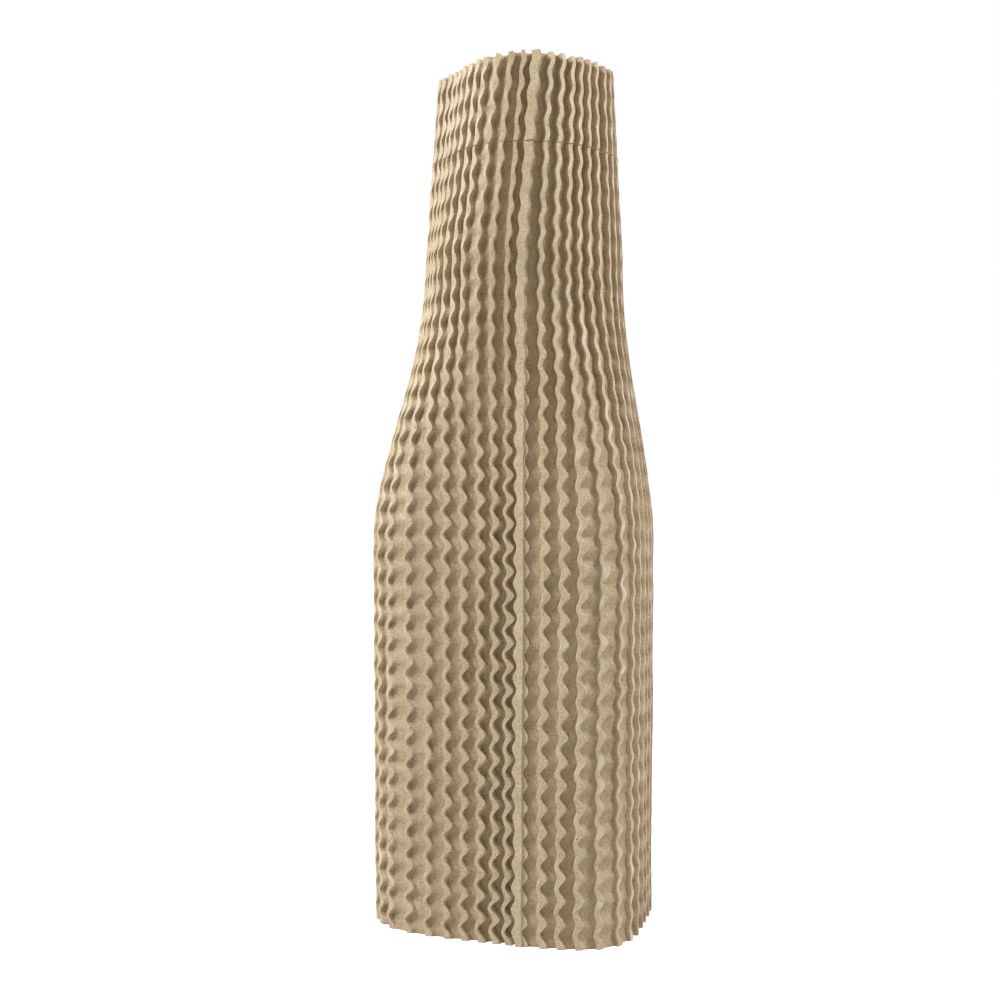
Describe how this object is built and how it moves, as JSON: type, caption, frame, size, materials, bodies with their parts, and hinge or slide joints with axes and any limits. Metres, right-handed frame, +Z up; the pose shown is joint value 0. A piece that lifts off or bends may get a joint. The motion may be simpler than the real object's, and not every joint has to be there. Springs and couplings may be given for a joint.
{
  "type": "corrugated bottle sleeve",
  "caption": "Fluted kraft paper sleeve, an open tube with a boxy body, sloping shoulder and narrow neck, that slips over a bottle to cushion it in transit.",
  "frame": {"origin": "middle of the foot's outline, on the surface that the sleeve stands on", "axes": "+Z up from the wide foot to the neck's rim, -Y out of the front panel with the lap seam, +X to the right of that panel"},
  "size_m": [0.0968, 0.0726, 0.3],
  "materials": {
    "kraft_paper": "matte unbleached recycled kraft"
  },
  "bodies": {
    "root": {"sleeve": "kraft_paper"}
  },
  "joints": []
}
